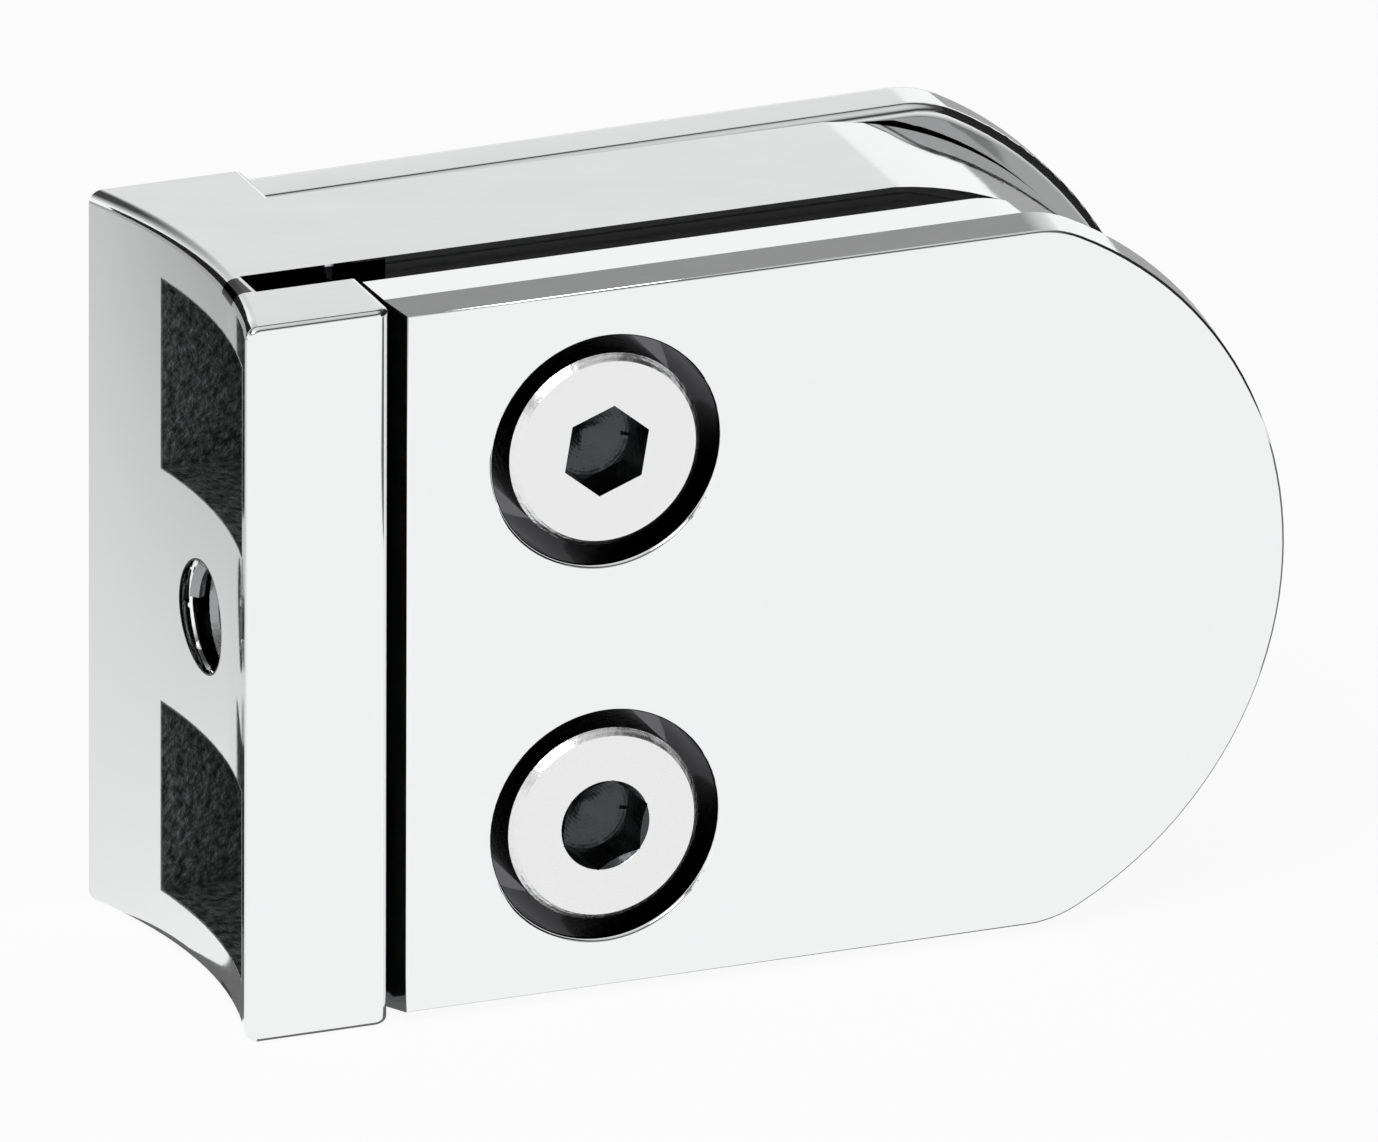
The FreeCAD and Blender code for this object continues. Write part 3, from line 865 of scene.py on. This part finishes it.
tree.links.new(glow.outputs[0], mix.inputs[2])
tree.links.new(mix.outputs[0], tree.nodes["Material Output"].inputs["Surface"])
half = FLOOR_SIZE / 2
add_stage("floor", [(-half, -half, floor_z), (half, -half, floor_z),
                    (half, half, floor_z), (-half, half, floor_z)], floor_white)
print("floor at %.2f mm" % (floor_z / MM))

# %% [markdown]
# Polished edges on a white ground vanish unless something dark stands beside them, so a
# photographer sets up black cards. Here one stands behind on the left, for the saddle, and
# one on the right, for the thin line round the plate's arc. They show only in reflections.

# %% Dark cards
CARD_COLOR = (0.01, 0.01, 0.01, 1)
# Each card from its two lower corners on the floor and its top, in metres.
CARDS = {"rear_card": ((-1.3, 0.8), (-0.06, 0.8), 0.32),
         "right_card": ((0.30, -0.25), (0.30, 0.25), 0.25)}
card_black, tree, shader = new_material("black card")
shader.inputs["Base Color"].default_value = CARD_COLOR
shader.inputs["Roughness"].default_value = 1.0
for name, (start, end, top) in CARDS.items():
    card = add_stage(name, [(*start, floor_z), (*end, floor_z), (*end, top), (*start, top)],
                     card_black)
    card.visible_camera = False
    card.visible_shadow = False
    print(name, "top", top)

# %% [markdown]
# Chrome is seen only by what it mirrors, so the room matters more than any lamp. It could be
# a photographed panorama, but a ramp over height is enough: bright near the floor, greyer
# above, one dark band for the line along the saddle's edge, and pale again at the top. That
# is what tells the flat faces from the sloped ones.

# %% Room
ROOM_TONES = [(0.00, 1.00), (0.31, 0.98), (0.365, 0.76), (0.45, 0.60), (0.53, 0.36),
              (0.63, 0.06), (0.74, 0.06), (0.84, 0.50), (1.00, 0.80)]
world = bpy.data.worlds.new("studio")
bpy.context.scene.world = world
world.use_nodes = True
tree = world.node_tree
sky = add_node(tree, "ShaderNodeSeparateXYZ")
tree.links.new(add_node(tree, "ShaderNodeTexCoord").outputs["Generated"], sky.inputs[0])
ramp = add_node(tree, "ShaderNodeValToRGB")
# Each new stop of the ramp starts in the middle, and the loop after this one places it.
while len(ramp.color_ramp.elements) < len(ROOM_TONES):
    ramp.color_ramp.elements.new(0.5)
for element, (level, tone) in zip(ramp.color_ramp.elements, ROOM_TONES):
    element.position = level
    element.color = (tone, tone, tone, 1)
tree.links.new(sky.outputs[2], ramp.inputs[0])
tree.links.new(ramp.outputs[0], tree.nodes["Background"].inputs["Color"])
tree.nodes["Background"].inputs["Strength"].default_value = 1.0
print("room tones:", len(ROOM_TONES))

# %% [markdown]
# One large soft lamp from the upper left gives the satin screws and the rubber their shape.
# It is weak, because the room already lights the part, and the Standard view transform shows
# each colour about as it is written.

# %% Lamp
LAMP_PLACE = Vector((-0.5, -0.5, 0.9))
LAMP_SIZE, LAMP_WATTS = 0.5, 4.0
lamp_data = bpy.data.lights.new("soft lamp", "AREA")
lamp_data.size = LAMP_SIZE
lamp_data.energy = LAMP_WATTS
lamp = bpy.data.objects.new("soft lamp", lamp_data)
lamp.location = LAMP_PLACE
lamp.rotation_euler = (aim - LAMP_PLACE).to_track_quat("-Z", "Y").to_euler()
bpy.context.scene.collection.objects.link(lamp)
bpy.context.scene.view_settings.view_transform = "Standard"
print("lamp %.2f m from the part" % (aim - LAMP_PLACE).length)
